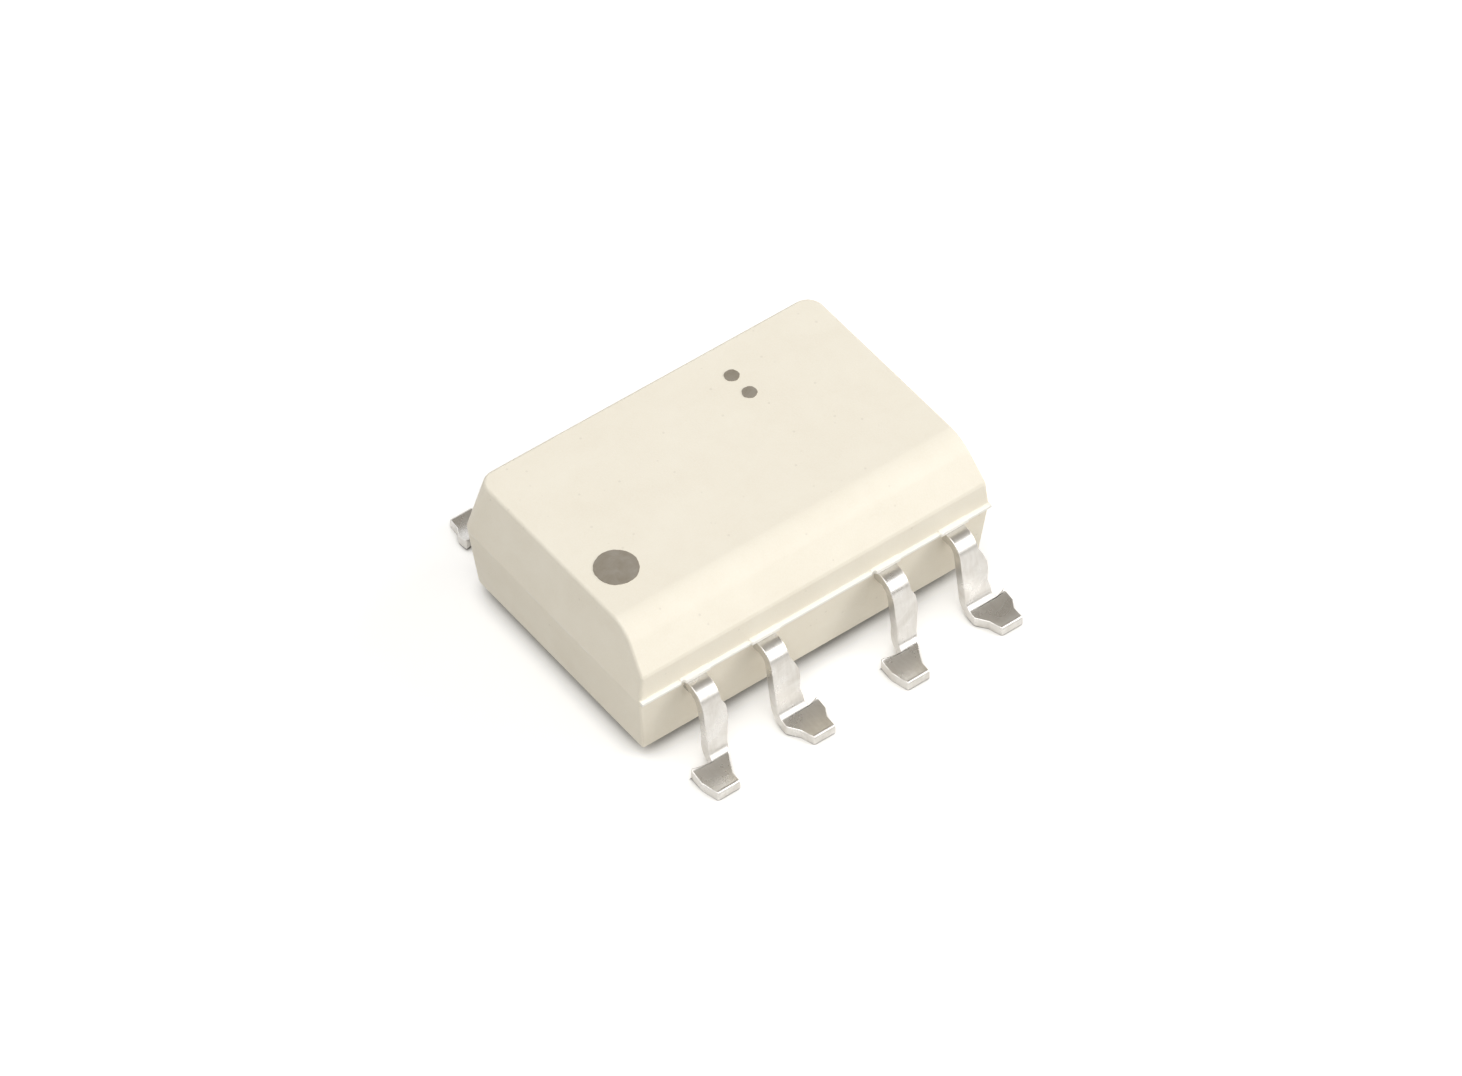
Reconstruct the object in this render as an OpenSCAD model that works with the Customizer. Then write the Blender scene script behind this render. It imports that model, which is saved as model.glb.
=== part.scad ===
// Eight-pin photocoupler in a moulded dual-in-line body, with leads bent for surface mounting.
// X runs along the rows of pins, Y across them and Z up. Pins 1 to 4 lie on the -Y side.
// The feet stand on Z = 0, and the origin is the middle of the outline on that plane.

/* [Body] */
// Length of the body at the parting plane
body_len = 9.37; // [9.1:0.01:10.4]
// Width of the body at the parting plane, without the flash
body_w = 6.44; // [6.2:0.01:7.6]
// Height of the upper half, above the parting plane
upper_h = 1.63; // [1.5:0.01:2.2]
// Height of the lower half, below the parting plane
lower_h = 1.67; // [1.2:0.01:1.8]
// Lean of each end face over the upper half
end_draft_upper = 0.19; // [0.05:0.01:0.35]
// Lean of each end face over the lower half
end_draft_lower = 0.17; // [0.05:0.01:0.35]
// Lean of the rear side over the upper half
rear_draft = 0.40; // [0.05:0.01:0.6]
// Lean of both long sides over the lower half
lower_draft = 0.12; // [0.02:0.01:0.3]
// Height of the steep strip on the pin 1 side, above the parting plane
strip_h = 0.73; // [0.4:0.01:1.1]
// Lean of that strip
strip_draft = 0.02; // [0.01:0.01:0.1]
// Depth of the sloping chamfer between the strip and the flat top
chamfer_in = 0.74; // [0.4:0.01:1.1]
// Rounding of the ridge where the chamfer meets the flat top
ridge_r = 0.45; // [0.2:0.01:0.7]
// Rounding of the other edges of the top
top_edge_r = 0.10; // [0.05:0.01:0.2]
// Radius of each ejector mark underneath
ejector_r = 0.50; // [0.3:0.01:0.8]
// Depth of each ejector mark
ejector_depth = 0.04; // [0.02:0.01:0.08]
// Distance of each ejector mark from the middle of the body
ejector_x = 2.40; // [1.5:0.05:3]

/* [Flash] */
// Reach of the flash beyond the long sides
flash_out = 0.10; // [0.04:0.01:0.14]
// Thickness of the flash
flash_t = 0.08; // [0.04:0.01:0.12]
// Extra reach of the collar over each lead
collar_out = 0.03; // [0.01:0.01:0.05]
// Extra thickness of the collar over each lead
collar_t = 0.02; // [0.01:0.01:0.06]
// Margin of the collar on each side of the lead
collar_margin = 0.12; // [0.05:0.01:0.3]

/* [Leads] */
// Distance between neighbouring pins
pitch = 2.54; // [2.54:0.01:2.6]
// Thickness of the lead sheet
sheet_t = 0.25; // [0.2:0.01:0.3]
// Gap between the body and the board
stand_off = 0.36; // [0.1:0.01:0.6]
// Width of a lead where it leaves the body
neck_w = 0.50; // [0.4:0.01:0.6]
// Distance from a pin's own line to its neck's edge, towards its partner
neck_reach = 0.60; // [0.5:0.01:0.65]
// Width of the standing leg
leg_w = 0.64; // [0.55:0.01:0.8]
// Drop from the parting plane to where the leg starts to widen
neck_drop = 0.33; // [0.28:0.01:0.45]
// Height over which the leg widens
neck_flare = 0.16; // [0.08:0.01:0.3]
// Straight run beyond the body's side before the first bend
shoulder_run = 0.18; // [0.15:0.01:0.35]
// Outer radius of the first bend
bend_r = 0.38; // [0.32:0.01:0.45]
// Inner radius of the bend at the heel
heel_r = 0.15; // [0.1:0.01:0.22]
// Angle by which the leg leans outwards
leg_lean = 10; // [0:1:14]
// Length of the flat foot, from the heel's bend to the toe
foot_len = 0.715; // [0.55:0.005:1.1]
// Reach of the foot's tab beyond a pin's own line, away from its partner
tab_reach = 0.46; // [0.3:0.01:0.6]
// Height of the tab's shoulder where it meets the leg
tab_top = 0.50; // [0.4:0.01:0.7]
// Height of the tab's outer corner
tab_corner = 0.27; // [0.2:0.01:0.35]
// Length of the foot at its full width
wide_len = 0.19; // [0.1:0.01:0.3]
// Length over which the foot narrows to its toe
narrow_len = 0.20; // [0.12:0.01:0.22]
// Width of the toe at its end
toe_w = 0.58; // [0.4:0.01:0.64]
// Extra width at the toe's root
toe_taper = 0.12; // [0.04:0.01:0.2]
// Rounding of the toe's upper edge, left by the shears
toe_edge_r = 0.07; // [0.03:0.01:0.09]
// Rounding of the foot's corners
foot_corner_r = 0.05; // [0.02:0.01:0.06]
// Shift of the lead frame along the body
frame_shift = 0.19; // [0:0.01:0.2]
// Shift of the body across the lead frame, away from pin 1
body_shift = 0.10; // [0:0.01:0.1]

/* [Inside] */
// Width of the lead frame's arms
arm_w = 0.50; // [0.4:0.01:0.54]
// Width of the anchor wings inside the body
wing_w = 0.86; // [0.7:0.01:1]
// Length of the anchor wings
wing_len = 0.24; // [0.15:0.01:0.3]
// Cover of resin between the body's side and the wings
wing_cover = 0.26; // [0.2:0.01:0.35]
// Distance from the body's side to the end of each unused lead's stub
stub_len = 0.95; // [0.8:0.01:1.2]
// Insulation gap between the emitter's pad and the detector's pad
insulation_gap = 1.10; // [0.6:0.01:1.2]
// Distance of that gap's middle from the lead frame's middle
insulation_mid = 0.25; // [0.15:0.01:0.35]
// Gap between a pad and the bond post beside it
post_gap = 0.25; // [0.2:0.01:0.3]
// Distance of each output bond post from the lead frame's middle
output_post_x = 0.72; // [0.55:0.01:0.9]
// Distance of the emitter pad's middle from the lead frame's middle
led_pad_x = 0.45; // [0.3:0.01:0.5]
// Emitter pad length along X
led_pad_len = 1.10; // [0.8:0.01:1.3]
// Emitter pad width along Y
led_pad_w = 0.90; // [0.7:0.01:1]
// Detector pad length along X
detector_pad_len = 2.20; // [1.9:0.01:2.4]
// Detector pad width along Y
detector_pad_w = 1.50; // [1.4:0.01:1.6]
// Side of the emitter chip
led_side = 0.32; // [0.25:0.01:0.4]
// Thickness of the emitter chip
led_t = 0.25; // [0.15:0.01:0.3]
// Detector chip length along X
detector_len = 1.50; // [1.2:0.01:1.6]
// Detector chip width along Y
detector_w = 1.15; // [1:0.01:1.2]
// Thickness of the detector chip
detector_t = 0.28; // [0.2:0.01:0.35]
// Thickness of the glue film under each chip
glue_t = 0.02; // [0.01:0.01:0.04]
// Margin of the glue film around each chip
glue_margin = 0.04; // [0.02:0.01:0.06]
// Radius of the bond wires
wire_r = 0.02; // [0.015:0.005:0.025]
// Radius of the ball and of the foot at the ends of a wire
bond_r = 0.05; // [0.04:0.005:0.06]
// Height of the ball and of the foot
bond_h = 0.04; // [0.04:0.005:0.05]
// Distance from a chip's edge to its bonds
bond_inset = 0.13; // [0.1:0.01:0.16]
// Rise of a wire's bow, as a share of its span
wire_bow = 0.25; // [0.2:0.01:0.28]
// Radius of the silicone dome's base
dome_r = 2.45; // [2.4:0.01:2.5]
// Height of the silicone dome
dome_h = 1.15; // [1.05:0.01:1.25]

/* [Marking] */
// Radius of the pin 1 dot
dot_r = 0.50; // [0.2:0.01:0.6]
// Thickness of the ink
ink_t = 0.015; // [0.01:0.005:0.03]
// Distance from the top's end edge to the dot's centre
dot_from_end = 0.88; // [0.75:0.01:1.4]
// Distance from the ridge to the dot's centre
dot_from_ridge = 1.46; // [1.1:0.01:2.5]

/* [Hidden] */
$fn = 96;

body_half = body_len / 2;
side_half = body_w / 2;
top_half = body_half - end_draft_upper;
ridge_y = side_half - strip_draft - chamfer_in;
parting_z = stand_off + lower_h;
top_z = parting_z + upper_h;
margin = 1;
arc_step = 8;

// Each lead is drawn once, from the lead frame's middle plane outwards.
bend_y = side_half + shoulder_run;
bend_z = parting_z - bend_r;
heel_z = sheet_t + heel_r;
heel_y = bend_y + (bend_r + heel_r + (bend_z - heel_z) * sin(leg_lean)) / cos(leg_lean);
toe_y = heel_y + foot_len;
wing_y = side_half - wing_cover;
wing_mid = wing_y - wing_len / 2;
far_edge = neck_reach - leg_w;
toe_root = (toe_w + toe_taper) / 2;

// Places on the lead frame inside the body.
led_y = -insulation_mid - insulation_gap / 2 - led_pad_w / 2;
detector_y = -insulation_mid + insulation_gap / 2 + detector_pad_w / 2;
output_post_y = detector_y + detector_pad_w / 2 + post_gap + arm_w / 2;
led_post_x = led_pad_x - led_pad_len / 2 - post_gap - arm_w / 2;
supply_post_x = -detector_pad_len / 2 - post_gap - arm_w / 2;
ground_bond_x = detector_pad_len / 2 + post_gap;
detector_bond_x = detector_len / 2 - bond_inset;
detector_bond_y = detector_y + detector_w / 2 - bond_inset;
led_top = parting_z + glue_t + led_t;
detector_top = parting_z + glue_t + detector_t;
dome_y = (led_y + output_post_y) / 2;
dome_sphere_r = (dome_r * dome_r + dome_h * dome_h) / (2 * dome_h);

// Pins 1 to 4 run along the -Y side, and 5 to 8 come back along the +Y side.
function column(n) = n <= 4 ? n : 9 - n;
function row_sign(n) = n <= 4 ? -1 : 1;
function partner_sign(n) = column(n) % 2 == 1 ? 1 : -1;
function pin_x(n) = (column(n) - 2.5) * pitch;
function neck_x(n) = pin_x(n) + partner_sign(n) * (neck_reach - neck_w / 2);

// Points along an arc, from one angle to another.
function arc(centre, r, from, to) =
    let (steps = ceil(abs(to - from) / arc_step))
    [for (k = [0 : steps]) centre + r * [cos(from + (to - from) * k / steps), sin(from + (to - from) * k / steps)]];

// An outline's corners are given as [x, y] or, rounded outwards, as [x, y, radius].
function spot(c) = [c[0], c[1]];
function unit(v) = v / norm(v);
function neighbour(corners, i, step) = spot(corners[(i + step + len(corners)) % len(corners)]);
function ray(corners, i, step) = unit(neighbour(corners, i, step) - spot(corners[i]));
function rounding(corner, r, back, ahead) =
    let (
        half = acos(back * ahead) / 2,
        centre = corner + unit(back + ahead) * r / sin(half),
        first = corner + back * r / tan(half) - centre,
        last = corner + ahead * r / tan(half) - centre,
        steps = ceil((180 - 2 * half) / arc_step)
    )
    [for (k = [0 : steps]) centre + r * unit(first * (steps - k) + last * k)];
function rounded(corners) =
    [for (i = [0 : len(corners) - 1])
        each len(corners[i]) == 2
            ? [corners[i]]
            : rounding(spot(corners[i]), corners[i][2], ray(corners, i, -1), ray(corners, i, 1))];

// Stands an outline drawn in Y and Z along X, centred on X = 0.
module along_x(length) {
    translate([-length / 2, 0, 0]) rotate([90, 0, 90]) linear_extrude(length) children();
}

// Stands an outline drawn in X and Z along Y, centred on Y = 0.
module along_y(length) {
    translate([0, length / 2, 0]) rotate([90, 0, 0]) linear_extrude(length) children();
}

module end_outline() {
    polygon(rounded([
        [-side_half, parting_z],
        [lower_draft - side_half, stand_off],
        [side_half - lower_draft, stand_off],
        [side_half, parting_z],
        [side_half - rear_draft, top_z, top_edge_r],
        [-ridge_y, top_z, ridge_r],
        [strip_draft - side_half, parting_z + strip_h, top_edge_r]
    ]));
}

module long_outline() {
    polygon(rounded([
        [-body_half, parting_z],
        [end_draft_lower - body_half, stand_off],
        [body_half - end_draft_lower, stand_off],
        [body_half, parting_z],
        [top_half, top_z, top_edge_r],
        [-top_half, top_z, top_edge_r]
    ]));
}

module flash() {
    reach = side_half + flash_out;
    translate([-body_half, -reach, parting_z]) cube([body_len, 2 * reach, flash_t]);
}

module collars() {
    width = neck_w + 2 * collar_margin;
    reach = side_half + flash_out + collar_out;
    for (n = [1 : 4])
        translate([frame_shift + neck_x(n) - width / 2, -reach, parting_z])
            cube([width, 2 * reach, flash_t + collar_t]);
}

module moulding() {
    translate([0, body_shift, 0]) {
        intersection() {
            along_y(body_w + 2 * margin) long_outline();
            union() {
                along_x(body_len + 2 * margin) end_outline();
                flash();
            }
        }
        collars();
    }
}

module ejector_marks() {
    for (x = [-ejector_x, ejector_x])
        translate([x, body_shift, stand_off - margin]) cylinder(r = ejector_r, h = margin + ejector_depth);
}

module package_body() {
    color([0.95, 0.92, 0.83]) difference() {
        moulding();
        for (n = [1 : 8]) lead_metal(n);
        dome();
        ejector_marks();
    }
}

// The lead seen from its side: Y outwards, Z up.
module lead_side() {
    back_r = bend_r - sheet_t;
    bend = [bend_y, bend_z];
    heel = [heel_y, heel_z];
    toe_round = [toe_y - toe_edge_r, sheet_t - toe_edge_r];
    polygon(concat(
        [[wing_mid, parting_z - sheet_t], [wing_mid, parting_z]],
        arc(bend, bend_r, 90, leg_lean),
        arc(heel, heel_r, 180 + leg_lean, 270),
        arc(toe_round, toe_edge_r, 90, 0),
        [[toe_y, 0]],
        arc(heel, heel_r + sheet_t, 270, 180 + leg_lean),
        arc(bend, back_r, leg_lean, 90)
    ));
}

// The lead seen from in front: X towards its partner, Z up.
module lead_front() {
    flare_top = parting_z - neck_drop;
    polygon(rounded([
        [-tab_reach, -margin],
        [neck_reach, -margin],
        [neck_reach, parting_z + margin],
        [neck_reach - neck_w, parting_z + margin],
        [neck_reach - neck_w, flare_top],
        [far_edge, flare_top - neck_flare],
        [far_edge, tab_top],
        [-tab_reach, tab_corner, foot_corner_r]
    ]));
}

// The lead seen from above: X towards its partner, Y outwards.
module lead_plan() {
    wide_y = heel_y + wide_len;
    root_y = wide_y + narrow_len;
    polygon(rounded([
        [-tab_reach, 0],
        [neck_reach, 0],
        [neck_reach, wide_y, foot_corner_r],
        [toe_root, root_y],
        [toe_w / 2, toe_y],
        [-toe_w / 2, toe_y],
        [-toe_root, root_y],
        [-tab_reach, wide_y, foot_corner_r]
    ]));
}

module outer_lead() {
    intersection() {
        along_x(4 * neck_reach) lead_side();
        along_y(4 * toe_y) lead_front();
        linear_extrude(parting_z + margin) lead_plan();
    }
}

// A flat bar of the lead frame from one point to another, square at both ends.
module bar(from, to) {
    low = [min(from[0], to[0]), min(from[1], to[1])];
    span = [abs(to[0] - from[0]), abs(to[1] - from[1])];
    translate([low[0] - arm_w / 2, low[1] - arm_w / 2]) square([span[0] + arm_w, span[1] + arm_w]);
}

module pad(centre, size) {
    translate(centre) square(size, center = true);
}

// The corners of a lead's route inside the body, from its wings to where it ends.
function route(n) =
    n == 1 || n == 4 ? [[neck_x(n), arm_w / 2 + stub_len - side_half]] :
    n == 2 ? [[neck_x(n), led_y], [led_post_x, led_y]] :
    n == 3 ? [[neck_x(n), led_y], [led_pad_x, led_y]] :
    n == 5 ? [[neck_x(n), detector_y], [0, detector_y]] :
    n == 6 ? [[neck_x(n), output_post_y], [output_post_x, output_post_y]] :
    n == 7 ? [[neck_x(n), output_post_y], [-output_post_x, output_post_y]] :
    [[neck_x(n), detector_y], [supply_post_x, detector_y]];

module inner_plan(n) {
    start = [neck_x(n), row_sign(n) * (wing_y - arm_w / 2)];
    path = concat([start], route(n));
    pad([neck_x(n), row_sign(n) * wing_mid], [wing_w, wing_len]);
    for (i = [1 : len(path) - 1]) bar(path[i - 1], path[i]);
    if (n == 3) pad([led_pad_x, led_y], [led_pad_len, led_pad_w]);
    if (n == 5) pad([0, detector_y], [detector_pad_len, detector_pad_w]);
}

module lead_metal(n) {
    translate([frame_shift, 0, 0]) {
        translate([pin_x(n), 0, 0])
            mirror([partner_sign(n) < 0 ? 1 : 0, 0, 0])
            mirror([0, row_sign(n) < 0 ? 1 : 0, 0])
            outer_lead();
        translate([0, 0, parting_z - sheet_t]) linear_extrude(sheet_t) inner_plan(n);
    }
}

module lead(n) {
    color([0.78, 0.77, 0.75]) lead_metal(n);
}

module slab(centre, size, bottom, thick) {
    translate([frame_shift, 0, bottom]) linear_extrude(thick) pad(centre, size);
}

module led_die_attach() {
    side = led_side + 2 * glue_margin;
    color([0.72, 0.72, 0.70]) slab([led_pad_x, led_y], [side, side], parting_z, glue_t);
}

module led_chip() {
    color([0.45, 0.30, 0.30]) slab([led_pad_x, led_y], [led_side, led_side], parting_z + glue_t, led_t);
}

module detector_die_attach() {
    size = [detector_len + 2 * glue_margin, detector_w + 2 * glue_margin];
    color([0.72, 0.72, 0.70]) slab([0, detector_y], size, parting_z, glue_t);
}

module detector_chip() {
    size = [detector_len, detector_w];
    color([0.30, 0.32, 0.38]) slab([0, detector_y], size, parting_z + glue_t, detector_t);
}

module bond(at, bottom) {
    translate([at[0], at[1], bottom]) cylinder(r = bond_r, h = bond_h);
}

// A wire bowed in an arc from a ball on a chip's top to a flat foot on a lead.
module bond_wire(from, chip_top, to) {
    span = norm(to - from);
    heading = atan2(to[1] - from[1], to[0] - from[0]);
    start = [0, chip_top + bond_h / 2];
    end = [span, parting_z + bond_h / 2];
    chord = end - start;
    rise = wire_bow * span;
    bow_r = (chord * chord / 4 + rise * rise) / (2 * rise);
    upward = [-chord[1], chord[0]] / norm(chord);
    centre = (start + end) / 2 - upward * (bow_r - rise);
    start_angle = atan2(start[1] - centre[1], start[0] - centre[0]);
    end_angle = atan2(end[1] - centre[1], end[0] - centre[0]);
    color([0.90, 0.72, 0.30]) translate([frame_shift, 0, 0]) {
        translate([from[0], from[1], 0]) rotate([0, 0, heading]) rotate([90, 0, 0])
            translate([centre[0], centre[1], 0]) rotate([0, 0, end_angle])
            rotate_extrude(angle = start_angle - end_angle) translate([bow_r, 0]) circle(r = wire_r);
        bond(from, chip_top);
        bond(to, parting_z);
    }
}

module led_wire() {
    bond_wire([led_pad_x, led_y], led_top, [led_post_x, led_y]);
}

module ground_wire() {
    bond_wire([detector_bond_x, detector_y], detector_top, [ground_bond_x, detector_y]);
}

module output_wire_6() {
    bond_wire([detector_bond_x, detector_bond_y], detector_top, [output_post_x, output_post_y]);
}

module output_wire_7() {
    bond_wire([-detector_bond_x, detector_bond_y], detector_top, [-output_post_x, output_post_y]);
}

module supply_wire() {
    bond_wire([-detector_bond_x, detector_y], detector_top, [supply_post_x, detector_y]);
}

module dome() {
    translate([frame_shift, dome_y, parting_z])
        rotate_extrude() intersection() {
            translate([0, dome_h - dome_sphere_r]) circle(r = dome_sphere_r);
            square([dome_r + margin, dome_h + margin]);
        }
}

module light_dome() {
    color([0.85, 0.90, 0.92, 0.6]) difference() {
        dome();
        led_die_attach();
        led_chip();
        detector_die_attach();
        detector_chip();
        led_wire();
        ground_wire();
        output_wire_6();
        output_wire_7();
        supply_wire();
    }
}

module pin_1_dot() {
    color([0.60, 0.56, 0.50])
        translate([dot_from_end - top_half, body_shift + dot_from_ridge - ridge_y, top_z])
        cylinder(r = dot_r, h = ink_t);
}

package_body();
lead(1);  // lead_1
lead(2);  // lead_2
lead(3);  // lead_3
lead(4);  // lead_4
lead(5);  // lead_5
lead(6);  // lead_6
lead(7);  // lead_7
lead(8);  // lead_8
led_chip();
led_die_attach();
detector_chip();
detector_die_attach();
led_wire();
ground_wire();
output_wire_6();
output_wire_7();
supply_wire();
light_dome();
pin_1_dot();
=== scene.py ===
import math

import bmesh
import bpy
from bpy.props import FloatProperty, FloatVectorProperty, PointerProperty
from bpy.types import Operator, Panel, PropertyGroup
from mathutils import Matrix, Vector


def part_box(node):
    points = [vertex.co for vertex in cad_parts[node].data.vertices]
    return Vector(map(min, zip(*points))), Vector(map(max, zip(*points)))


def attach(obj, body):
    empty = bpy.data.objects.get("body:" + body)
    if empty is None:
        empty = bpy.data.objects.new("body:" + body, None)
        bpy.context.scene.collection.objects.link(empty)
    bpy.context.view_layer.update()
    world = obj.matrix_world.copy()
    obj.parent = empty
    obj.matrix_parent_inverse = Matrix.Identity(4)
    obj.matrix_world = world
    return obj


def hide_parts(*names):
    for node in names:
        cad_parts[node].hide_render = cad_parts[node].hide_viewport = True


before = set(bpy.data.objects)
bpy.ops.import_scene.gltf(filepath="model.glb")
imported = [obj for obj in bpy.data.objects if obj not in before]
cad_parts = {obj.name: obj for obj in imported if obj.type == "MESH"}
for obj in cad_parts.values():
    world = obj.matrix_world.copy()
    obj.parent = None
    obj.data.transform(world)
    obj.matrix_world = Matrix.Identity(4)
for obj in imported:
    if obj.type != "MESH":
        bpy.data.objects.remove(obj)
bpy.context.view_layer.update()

bl_info = {
    "name": "Photocoupler maker",
    "version": (1, 0, 0),
    "blender": (4, 5, 0),
    "location": "3D View > Sidebar > Photocoupler",
    "description": "Dresses the CAD frame of a surface-mount photocoupler for a studio picture",
    "category": "Object",
}

# The bench is where a piece is worked on: there, one unit is a millimetre. SPARE is stock that gets cut
# away, and ON_PLANE is how near a plane a corner counts as lying on it.
MM = 0.001
JOIN_GAP = 0.0001
SEAM_GAP = 0.001
ON_PLANE = 0.01
SPARE = 1.0
ROUND_STEPS = 96
EDGE_STEPS = 3
FINE_STEPS = 2
NORMAL_WEIGHT = 80
FLAT_ANGLE = math.radians(0.6)
SHARP_ANGLE = math.radians(28)
SMOOTH_ANGLE = math.radians(52)

# The moulding, in millimetres. Its halves meet at the parting plane and lean inwards from there.
BODY_MID_Y = 0.10
BODY_HALF = 4.685
SIDE_HALF = 3.22
PARTING_Z = 2.03
BOTTOM_Z = 0.36
TOP_Z = 3.66
END_LEAN_UPPER = 0.19
END_LEAN_LOWER = 0.17
REAR_LEAN = 0.40
LOWER_LEAN = 0.12
STRIP_HEIGHT = 0.73
STRIP_LEAN = 0.02
CHAMFER_IN = 0.74
FLASH_REACH = 3.32
FLASH_HALF = 4.672
FLASH_THICK = 0.08
COLLAR_REACH = 3.35
COLLAR_WIDTH = 0.74
COLLAR_THICK = 0.10
NICKED_LEADS = (1, 3)
NICK_RADIUS = 0.05
NICK_DEPTH = 1.0
NICK_ASIDE = 0.33
NICK_STEPS = 16
EJECTOR_RADIUS = 0.50
EJECTOR_DEPTH = 0.04
EJECTOR_X = 2.40
EJECTOR_STEPS = 64
RIDGE_STEPS = 10
CORNER_STEPS = 8
# The drop's room reaches this far below the parting plane, so that no film of resin is left on the pads.
FILM = 0.002
# An edge is at a rear corner where it lies beyond END_X and REAR_Y and stands taller than STANDING, and on
# the flash where it lies more than FLASH_START beyond the wall.
END_X = 4.30
REAR_Y = 2.0
STANDING = 1.0
FLASH_START = 0.02
# Where the resin changes colour: PALE_BESIDE and SEAM_ENDS are from where to where it sets in, and the other
# two are a level, a half height and a softness.
PALE_BESIDE = (SIDE_HALF - 0.02, SIDE_HALF + 0.03)
PALE_LEVEL = (PARTING_Z + 0.04, 0.07, 0.02)
SEAM_ENDS = (4.60, 4.64)
SEAM_LINE = (PARTING_Z, 0.006, 0.010)

# The leads, in millimetres. Each is drawn with its pin's own line at X = 0, and its row facing -Y.
FRAME_X = 0.19
PITCH = 2.54
ROW_PINS = 4
STOCK_WIDTH = 3.0
NECK_OFFSET = 0.35
SHEET = 0.25
SHOULDER_Y = 3.30
HEEL_RADIUS = 0.24
LEG_LEAN = math.radians(10)
FOOT_HOLLOW = 2.20
HEEL_RISE = math.radians(12)
TOE_Y = 4.872
TOE_EDGE_RADIUS = 0.07
ROOT_Y = 2.90
INNER_END_Y = 3.05
EDGE_START_Y = 3.10
ARC_STEP = math.radians(7.5)
FOOT_STEP = math.radians(1.5)

# Edges of the leads as seen from in front, from the top down: X towards the pin's partner, and Z.
# Each leg bulges on its +X side, where the tie bar was cut from it, and its foot has a tab on the far side.
ODD_PARTNER_EDGE = ((0.60, 1.65), (0.70, 1.45), (0.72, 1.25), (0.72, 1.10), (0.64, 0.65), (0.60, 0.40))
ODD_FAR_EDGE = ((0.10, 1.75), (0.125, 1.50), (0.125, 0.75), (0.09, 0.52), (-0.42, 0.50))
EVEN_PARTNER_EDGE = ((0.60, 1.65), (0.60, 0.40))
EVEN_FAR_EDGE = ((0.10, 1.70), (0.00, 1.50), (-0.09, 1.25), (-0.09, 1.05), (-0.04, 0.75), (-0.10, 0.52),
                 (-0.41, 0.50))
# Edges of the feet as seen from above, from the heel to the toe: X towards the partner, and Y outwards.
ODD_FOOT_PARTNER = ((0.80, 3.97), (0.60, 4.00), (0.52, 4.16), (0.41, 4.35), (0.29, 4.60), (0.27, None))
ODD_FOOT_FAR = ((0.09, 4.12), (-0.42, 4.04), (-0.42, 4.44), (-0.31, None))
EVEN_FOOT_PARTNER = ((0.61, 3.97), (0.60, 4.28), (0.40, 4.53), (0.29, None))
EVEN_FOOT_FAR = ((-0.10, 4.12), (-0.41, 4.04), (-0.41, 4.35), (-0.29, 4.55), (-0.27, None))

# The printed dots. The small ones are X and Y of their middles, and the rim's waver is made of three waves,
# each with its count round the rim and its height.
SMALL_DOTS = ((1.645, 2.02), (1.654, 1.40))
RIM_ROUND = 0.45
WAVES = ((5, 1.0), (11, 0.7), (23, 0.6))

# The chips and the glue under them, with their edges' rounding in millimetres.
CHIP_ROUND = 0.006
GLUE_ROUND = 0.007

# Colours of what shows here and there in each finish.
RESIN_SHADE = (0.955, 0.945, 0.93)
RESIN_PIT = (0.55, 0.49, 0.40)
# The flash's colour below is partly the paler look of thin resin, and partly a painted highlight on the
# flash's top.
RESIN_FLASH_HIGHLIGHT = (0.98, 0.955, 0.89)
RESIN_SEAM = (0.97, 0.93, 0.84)
TIN_DULL = (0.80, 0.78, 0.75)
TIN_STREAK = (0.90, 0.89, 0.87)
INK_PIT = (0.14, 0.12, 0.10)
EMITTER_TONES = ((0.20, 0.085, 0.075), (0.32, 0.15, 0.13))
SILICON_TONES = ((0.10, 0.12, 0.17), (0.17, 0.19, 0.25))
GLUE_TONES = ((0.42, 0.42, 0.41), (0.66, 0.66, 0.64))
GOLD_TONES = ((0.86, 0.60, 0.20), (0.96, 0.74, 0.32))
SILICONE_TONES = ((0.90, 0.94, 0.95), (0.97, 0.985, 0.99))

# The photograph is 1462 by 1076 pixels. The camera's place and lens were solved from it.
PHOTO_WIDTH = 1462
PHOTO_CENTRE = (731.0, 538.0)
TARGET = Vector((0.00019, 0.0, 0.0015))
TARGET_PIXEL = (734.6, 528.9)
CAMERA_AZIMUTH = math.radians(-37.17)
CAMERA_ELEVATION = math.radians(48.22)
CAMERA_DISTANCE = 0.1783
CAMERA_LENS = 204.4

# The studio, in metres. A softbox has its direction, distance, size and the setting that holds its power.
SOFTBOXES = (
    ("front_softbox", (0.35, -0.80, 0.62), 0.55, (0.62, 0.46), "front_power"),
    ("side_softbox", (0.80, -0.40, 0.52), 0.60, (0.40, 0.40), "side_power"),
    ("top_softbox", (-0.35, -0.10, 0.92), 0.60, (0.45, 0.45), "top_power"),
)
# Dark cards that only reflections show, each with its centre, the way it faces and its size.
CARDS = (
    ("ceiling_card", (0.30, 0.22, 0.60), (0, 0, -1), (1.00, 0.86)),
    ("low_card", (0.27, -0.52, 0.055), (-0.45, 0.86, 0), (1.40, 0.20)),
)
CARD_TONE = (0.32, 0.295, 0.255)
FLOOR_SIZE = 4.0
FIBRE_SCALE = 9000.0
# How near the object the floor counts as sheltered, in millimetres, and how dark the paper is there. Then,
# as shares of open surroundings, from where to where the paper takes its full colour and its full lift.
SHELTER_REACH = 0.8
SHELTER_TONE = 0.30
FULL_COLOUR = (0.18, 0.42)
FULL_LIFT = (0.38, 0.78)


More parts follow.
